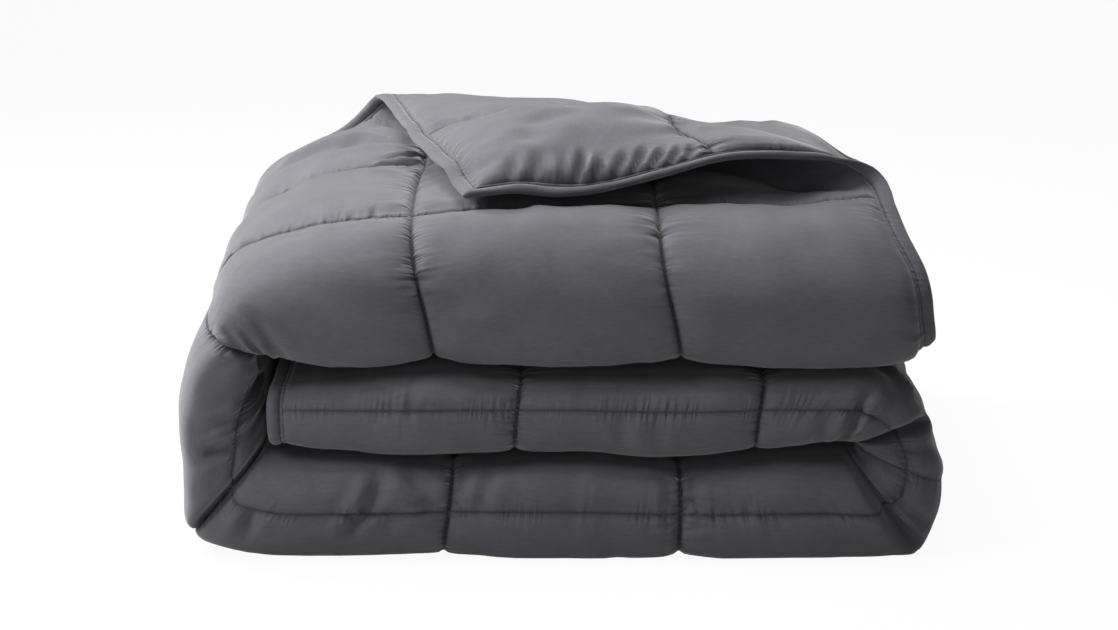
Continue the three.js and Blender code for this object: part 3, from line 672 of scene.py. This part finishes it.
def thread_bars(name, across, along, step_a, step_l, level, thick):
    """Threads as short four-sided bars, bowed up in their middle: at every place a bar runs
    one step over the flat cloth, "level" from the cloth's middle."""
    rings = np.linspace(-0.5, 0.5, 3)
    bow = np.array([-0.35, 0.25, -0.35])
    side = np.sign(level)[:, None]
    a = across[:, None] + step_a[:, None] * rings
    l = along[:, None] + step_l[:, None] * rings
    height = level[:, None] + side * bow
    middle = folded(a, l, height)
    up = folded(a, l, height + side) - middle
    up /= np.linalg.norm(up, axis=-1, keepdims=True)
    ahead = middle[:, 2:] - middle[:, :1]
    sideways = np.cross(ahead, up)
    sideways /= np.linalg.norm(sideways, axis=-1, keepdims=True)
    points = np.stack([middle + thick * to for to in (up, sideways, -up, -sideways)], axis=2)
    ring = np.arange(4)
    bars = [np.stack([r * 4 + ring, r * 4 + (ring + 1) % 4, r * 4 + 4 + (ring + 1) % 4,
                      r * 4 + 4 + ring], axis=-1) for r in (0, 1)]
    one = np.concatenate(bars + [np.array([[3, 2, 1, 0], [8, 9, 10, 11]])])
    faces = (np.arange(len(across))[:, None, None] * 12 + one).reshape(-1, 4)
    return make_mesh(name, points.reshape(-1, 3), faces, np.zeros((len(across) * 12, 2)))


STITCH_PITCH, STITCH_LONG, STITCH_THICK = 4.6, 3.2, 0.42
STITCH_FROM = 20                # the seams' stitches start this far inside the outer edge
FACE_SHOWN = 3.7                # boxes along that show their face
BACK_SHOWN = 2.2                # boxes both ways that the flap turns over


def make_seam_stitches():
    """Threads on a row of even places along every seam that shows."""
    long_a, long_l = STITCH_LONG / BOX_WIDE, STITCH_LONG / BOX_LONG
    rows = []

    def add_row(across, along, step_a, step_l, side):
        rows.append(np.broadcast_arrays(across, along, step_a, step_l, side))

    def places(end, size):
        return np.arange(STITCH_FROM, end, STITCH_PITCH) / size

    for seam in range(1, BOXES_WIDE):
        add_row(seam, places(FACE_SHOWN * BOX_LONG, BOX_LONG), 0, long_l, 1)
    for seam in (1, 2, 3):
        run = places(BOXES_WIDE * BOX_WIDE - STITCH_FROM, BOX_WIDE)
        add_row(run, seam, long_a, 0, 1)
    for seam in (1, 2):
        add_row(seam, places(BACK_SHOWN * BOX_LONG, BOX_LONG), 0, long_l, -1)
        add_row(places(BACK_SHOWN * BOX_WIDE, BOX_WIDE), seam, long_a, 0, -1)
    across, along, step_a, step_l, side = (np.concatenate(part) for part in zip(*rows))
    along = along + seam_shift(across, along)
    level = side * np.abs(quilt_rise(across, along, 1))
    return thread_bars("seam_stitches", across, along, step_a, step_l, level, STITCH_THICK)


def make_binding_stitches():
    """Threads along the binding's groove, on both faces of the cloth."""
    outer = rim_route(STITCH_PITCH)
    place = edge_places(outer, np.array([STITCH_LINE]))[:, 0]
    flat = place * [BOX_WIDE, BOX_LONG]
    ahead = np.roll(flat, -1, axis=0) - flat
    ahead /= np.maximum(np.linalg.norm(ahead, axis=-1, keepdims=True), 0.1)
    step = ahead * STITCH_LONG / [BOX_WIDE, BOX_LONG]
    level = binding_half(STITCH_LINE) + 0.1
    both = [np.concatenate([part, part]) for part in (*place.T, *step.T)]
    return thread_bars("binding_stitches", *both, np.repeat([level, -level], len(place)),
                       STITCH_THICK)


# ---- finishes ------------------------------------------------------------------------------
class Socket:
    """A shader value that adds its Math nodes when Python operators are used on it."""

    def __init__(self, finish, link):
        self.finish, self.link = finish, link

    def output(self, name):
        """Another output of the node that this value comes from."""
        return Socket(self.finish, self.link.node.outputs[name])

    def maths(self, operation, *others):
        """This value put through a Math node, with others in its further sockets."""
        return self.finish.node("ShaderNodeMath", {"operation": operation},
                                dict(enumerate((self, *others))))

    def __add__(self, other):
        return self.maths("ADD", other)

    def __sub__(self, other):
        return self.maths("SUBTRACT", other)

    def __rsub__(self, other):
        return self.finish.node("ShaderNodeMath", {"operation": "SUBTRACT"}, {0: other, 1: self})

    def __mul__(self, other):
        return self.maths("MULTIPLY", other)

    def __truediv__(self, other):
        return self.maths("DIVIDE", other)

    __radd__ = __add__
    __rmul__ = __mul__


class Finish:
    """A node material. Its method "node" adds any node: its type, its settings, which are
    set first, and the values or links of its sockets by name or number."""

    def __init__(self, name):
        self.material = bpy.data.materials.new(name)
        self.material.use_nodes = True
        self.tree = self.material.node_tree
        self.tree.nodes.clear()

    def node(self, kind, settings=(), sockets=(), out=0):
        made = self.tree.nodes.new(kind)
        for key, value in dict(settings).items():
            setattr(made, key, value)
        for key, value in dict(sockets).items():
            if isinstance(value, Socket):
                self.tree.links.new(value.link, made.inputs[key])
            else:
                made.inputs[key].default_value = value
        return Socket(self, made.outputs[out])

    def colour_mix(self, share, first, second):
        """The first colour where the share is 0, the second where it is 1."""
        return self.node("ShaderNodeMix", {"data_type": "RGBA"},
                         {0: share, 6: first, 7: second}, out=2)

    def noise(self, vector, scale, detail):
        return self.node("ShaderNodeTexNoise", (),
                         {"Vector": vector, "Scale": scale, "Detail": detail})

    def surface(self, shader):
        output = self.tree.nodes.new("ShaderNodeOutputMaterial")
        self.tree.links.new(shader.link, output.inputs["Surface"])
        return self.material


CLOTH_DARK, CLOTH_LIGHT = (0.070, 0.069, 0.080, 1), (0.166, 0.163, 0.183, 1)
HEM_DARK, HEM_LIGHT = (0.084, 0.082, 0.095, 1), (0.138, 0.135, 0.154, 1)
# Colours of the painted shade down in the seams and in the binding's groove and lip.
SEAM_SHADE, GROOVE_SHADE = (0.012, 0.012, 0.015, 1), (0.014, 0.014, 0.017, 1)
THREAD_DARK, THREAD_LIGHT = (0.035, 0.034, 0.04, 1), (0.07, 0.068, 0.08, 1)


def seam_distance(run, size):
    """Distance in metres from the nearest line of a row of seams "size" apart."""
    share = (run / size + 0.5).maths("FRACT")
    return (share - 0.5).maths("ABSOLUTE") * size


def within(run, middle, reach):
    """1 within a reach in metres of a middle in metres, 0 elsewhere."""
    return (run - middle).maths("ABSOLUTE").maths("LESS_THAN", reach)


def fine_puckers(finish, gap, place, reach, high):
    """Height in metres of the small folds beside a row of seams: noise drawn out away from
    the seam, in patches, which fades over its reach on both sides of it."""
    waves = finish.noise(place, 1.0, 1.0) - 0.5
    patches = (finish.noise(place, 0.17, 0.0) * 4.5 - 1.7).maths("MAXIMUM", 0.12)
    near = (gap * (-1.0 / reach)).maths("EXPONENT") * (gap / 0.0025).maths("MINIMUM", 1.0)
    return waves * near * patches * high


def brushed_cloth(finish, flat, solid):
    """The nap's mottling from 0 to 1, and the height in metres of weave, nap and crumples."""
    cloud = finish.noise(solid, 26.0, 4.0)
    strands = finish.node("ShaderNodeMapping", (), {"Vector": flat, "Scale": (110, 420, 1)})
    brushed = finish.noise(strands, 1.0, 3.0)
    mottle = 0.5 * cloud + 0.5 * brushed
    run_a = finish.node("ShaderNodeSeparateXYZ", (), {0: flat})
    turns = 2 * np.pi / 0.0011
    weave = (run_a * turns).maths("SINE") * (run_a.output("Y") * turns).maths("SINE")
    crumple = finish.noise(solid, 60.0, 3.0) * 0.0005 + finish.noise(solid, 17.0, 2.0) * 0.0016
    return mottle, crumple + weave * 0.00001 + brushed * 0.00004


def cloth_shader(finish, colour, mottle, height):
    """Soft matt cloth with a faint sheen: rougher where mottled, raised by its height."""
    bump = finish.node("ShaderNodeBump", (), {"Strength": 1.0, "Distance": 1.0,
                                              "Height": height})
    shader = finish.node("ShaderNodeBsdfPrincipled", (), {
        "Base Color": colour,
        "Roughness": 0.72 + 0.14 * mottle,
        "Normal": bump,
        "Specular IOR Level": 0.3,
        "Sheen Weight": 0.4,
        "Sheen Roughness": 0.4,
    })
    return finish.surface(shader)


def quilted_microfibre():
    """Brushed plain-weave cloth: mottled, with painted shade down in the seams, and small puckers
    beside them. The taut seam is pulled nearly level, and the left mitre has few puckers."""
    finish = Finish("quilted_microfibre")
    flat = finish.node("ShaderNodeUVMap", {"uv_map": "flat_cloth"})
    run_a = finish.node("ShaderNodeSeparateXYZ", (), {0: flat})
    run_l = run_a.output("Y")
    mottle, height = brushed_cloth(finish, flat, finish.node("ShaderNodeTexCoord", out="Object"))
    gap_a = seam_distance(run_a, BOX_WIDE * MM)
    gap_l = seam_distance(run_l, BOX_LONG * MM)
    front = TAUT_SEAM * BOX_LONG * MM
    taut = within(run_l, front, 0.1)
    mitre = within(run_a, TAUT_FROM * BOX_WIDE * MM, 0.08) * within(run_l, front, 0.12)
    calm = 1 - 0.85 * mitre
    for gap, scale, reach, high, seed in (
        (gap_a, (24, 95), 0.011, 0.0190 * calm, 1.0),
        (gap_a, (40, 230), 0.006, 0.0110 * calm, 2.0),
        (gap_l, (95, 24), 0.010, 0.0120 * (1 - 0.3 * taut), 3.0),
        (gap_l, (230, 40), 0.005, 0.0090 * (1 - 0.3 * taut), 4.0),
    ):
        place = finish.node("ShaderNodeCombineXYZ", (), {"X": run_a * scale[0],
                                                        "Y": run_l * scale[1], "Z": seed})
        height = height + fine_puckers(finish, gap, place, reach, high)
    turned = within(run_a, TAUT_TURN * BOX_WIDE * MM, 0.05) * within(run_l, front, 0.09)
    # Painted shade: the colour is darkened within a millimetre or two of every seam, less on the
    # taut and turned seams; the same mask also sinks a shallow groove into the bump.
    seam_groove_and_shade_a = (gap_a * (-1 / 0.0016)).maths("EXPONENT") * (1 - 0.7 * turned)
    seam_groove_and_shade_l = (gap_l * (-1 / 0.0015)).maths("EXPONENT") * (1 - 0.65 * taut)
    drawn = seam_groove_and_shade_a.maths("MAXIMUM", seam_groove_and_shade_l)
    plain = finish.colour_mix(mottle, CLOTH_DARK, CLOTH_LIGHT)
    painted_seam_shade = (drawn * 2.0).maths("MINIMUM", 0.94)
    colour = finish.colour_mix(painted_seam_shade, plain, SEAM_SHADE)
    return cloth_shader(finish, colour, mottle, height - drawn * 0.0016)


def binding_microfibre():
    """The same cloth on the binding, with painted shade in its stitched groove and at its lip, and
    puckered across by the stitches."""
    finish = Finish("binding_microfibre")
    flat = finish.node("ShaderNodeUVMap", {"uv_map": "flat_cloth"})
    depth = finish.node("ShaderNodeSeparateXYZ", (), {0: flat})
    run = depth.output("Y")
    mottle, height = brushed_cloth(finish, flat, finish.node("ShaderNodeTexCoord", out="Object"))
    from_groove = (depth - STITCH_LINE * MM).maths("ABSOLUTE")
    groove = (from_groove * (-1 / 0.0008)).maths("EXPONENT")
    lip = ((depth - 0.0148) * (1 / 0.0012)).maths("MAXIMUM", 0.0).maths("MINIMUM", 1.0)
    place = finish.node("ShaderNodeCombineXYZ", (), {"X": depth * 50, "Y": run * 210})
    tucks = (finish.noise(place, 1.0, 1.0) - 0.5) * (from_groove * (-1 / 0.005)).maths("EXPONENT")
    plain = finish.colour_mix(mottle, HEM_DARK, HEM_LIGHT)
    # Painted shade: the colour is darkened in the stitched groove and along the inner lip, where
    # the binding meets the quilting; the groove also dips a little in the bump.
    shade = groove.maths("MAXIMUM", lip) * 0.65
    colour = finish.colour_mix(shade, plain, GROOVE_SHADE)
    return cloth_shader(finish, colour, mottle, height + tucks * 0.0022 - groove * 0.0008)


def sewing_thread():
    """Twisted thread, a little darker than the cloth."""
    finish = Finish("sewing_thread")
    solid = finish.node("ShaderNodeTexCoord", out="Object")
    twist = finish.noise(solid, 900.0, 1.0)
    shader = finish.node("ShaderNodeBsdfPrincipled", (), {
        "Base Color": finish.colour_mix(twist, THREAD_DARK, THREAD_LIGHT),
        "Roughness": 0.6,
    })
    return finish.surface(shader)


def studio_white(name, level, kept):
    """A pale surface that the camera sees mostly as plain white, with its shadows kept. Its
    own level is what the light bounces off."""
    finish = Finish(name)
    rays = finish.node("ShaderNodeLightPath", out="Is Camera Ray")
    seen = rays + rays.output("Is Glossy Ray") + rays.output("Is Transmission Ray")
    shown = finish.colour_mix(rays, (level, level, level, 1), (1, 1, 1, 1))
    paint = finish.node("ShaderNodeBsdfDiffuse", (), {"Color": shown})
    glow = finish.node("ShaderNodeEmission", (), {"Color": (1, 1, 1, 1), "Strength": 1.0})
    return finish.surface(finish.node("ShaderNodeMixShader", (),
                                      {0: seen * (1 - kept), 1: paint, 2: glow}))


# ---- the studio ----------------------------------------------------------------------------
def make_studio():
    """A pale floor that curves up into a backdrop, and a faint even light all round."""
    floor = bpy.data.meshes.new("studio_floor")
    reach, rise, curve = 6.0, 5.0, 1.2
    bend = np.linspace(0, np.pi / 2, 24)
    y = np.r_[-reach, 3.0, 3.0 + curve * np.sin(bend[1:]), 3.0 + curve]
    z = np.r_[0, 0, curve * (1 - np.cos(bend[1:])), rise]
    profile = np.stack([y, z], axis=-1)
    points = [(x, py, pz) for x in (-reach, reach) for py, pz in profile]
    count = len(profile)
    floor.from_pydata(points, [], [(i, i + count, i + count + 1, i + 1) for i in range(count - 1)])
    floor.polygons.foreach_set("use_smooth", np.ones(count - 1, dtype=bool))
    sweep = bpy.data.objects.new("studio_floor", floor)
    bpy.context.scene.collection.objects.link(sweep)
    floor.materials.append(studio_white("studio_white", 0.55, 0.06))
    world = bpy.data.worlds.new("studio_air")
    bpy.context.scene.world = world
    world.use_nodes = True
    world.node_tree.nodes["Background"].inputs["Color"].default_value = (1, 1, 1, 1)
    world.node_tree.nodes["Background"].inputs["Strength"].default_value = 0.02


def aim(thing, place, target):
    """Stands a lamp or the camera at a place, looking at a target."""
    thing.location = place
    direction = Vector(target) - Vector(place)
    thing.rotation_euler = direction.to_track_quat("-Z", "Y").to_euler()


def make_lamps():
    """Soft boxes, as rows of name, place, target, size and power."""
    for name, place, target, size, power in (
        ("key_left", (-1.5, 0.8, 1.4), (0.0, 0.0, 0.2), 0.8, 42.0),
        ("front_left", (-1.4, -0.9, 1.5), (0.0, 0.0, 0.2), 0.8, 16.0),
        ("top_soft", (-0.2, 0.0, 2.3), (0.0, 0.0, 0.2), 1.3, 43.0),
        ("front_fill", (-0.3, -2.6, 0.9), (0.0, 0.0, 0.2), 1.4, 6.0),
    ):
        lamp = bpy.data.lights.new(name, "AREA")
        lamp.size = size
        lamp.energy = power
        holder = bpy.data.objects.new(name, lamp)
        bpy.context.scene.collection.objects.link(holder)
        aim(holder, place, target)


def make_camera():
    """The camera stands a few metres before the bundle's front and looks a little down."""
    away, height, tilt, focal_length = 2.7, 0.236, np.radians(13), 95.6
    lens = bpy.data.cameras.new("camera")
    lens.lens = focal_length
    camera = bpy.data.objects.new("camera", lens)
    bpy.context.scene.collection.objects.link(camera)
    target = np.array([-MIDDLE_X * MM, -MIDDLE_Y * MM, height])
    aim(camera, target + away * np.array([0, -np.cos(tilt), np.sin(tilt)]), target)
    bpy.context.scene.camera = camera


bpy.context.scene.view_settings.view_transform = "Standard"
make_camera()
make_lamps()
make_studio()

top = make_quilting("quilted_top", RIM / BOX_WIDE, PARTING, TOP_CELL, 1)
base = make_quilting("quilted_base", PARTING - 1 / BOX_WIDE, BOXES_WIDE - RIM / BOX_WIDE,
                     BASE_CELL, 0)
binding = make_binding()
seam_stitches = make_seam_stitches()
binding_stitches = make_binding_stitches()
cloth = quilted_microfibre()
top.data.materials.append(cloth)
base.data.materials.append(cloth)
binding.data.materials.append(binding_microfibre())
thread = sewing_thread()
seam_stitches.data.materials.append(thread)
binding_stitches.data.materials.append(thread)
for piece, slot in ((top, "quilted_cloth"), (base, "quilted_cloth"),
                    (seam_stitches, "quilted_cloth"), (binding, "binding_cloth"),
                    (binding_stitches, "binding_cloth")):
    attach(piece, "root")
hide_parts("duvet")
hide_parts("duvet")
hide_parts("binding")
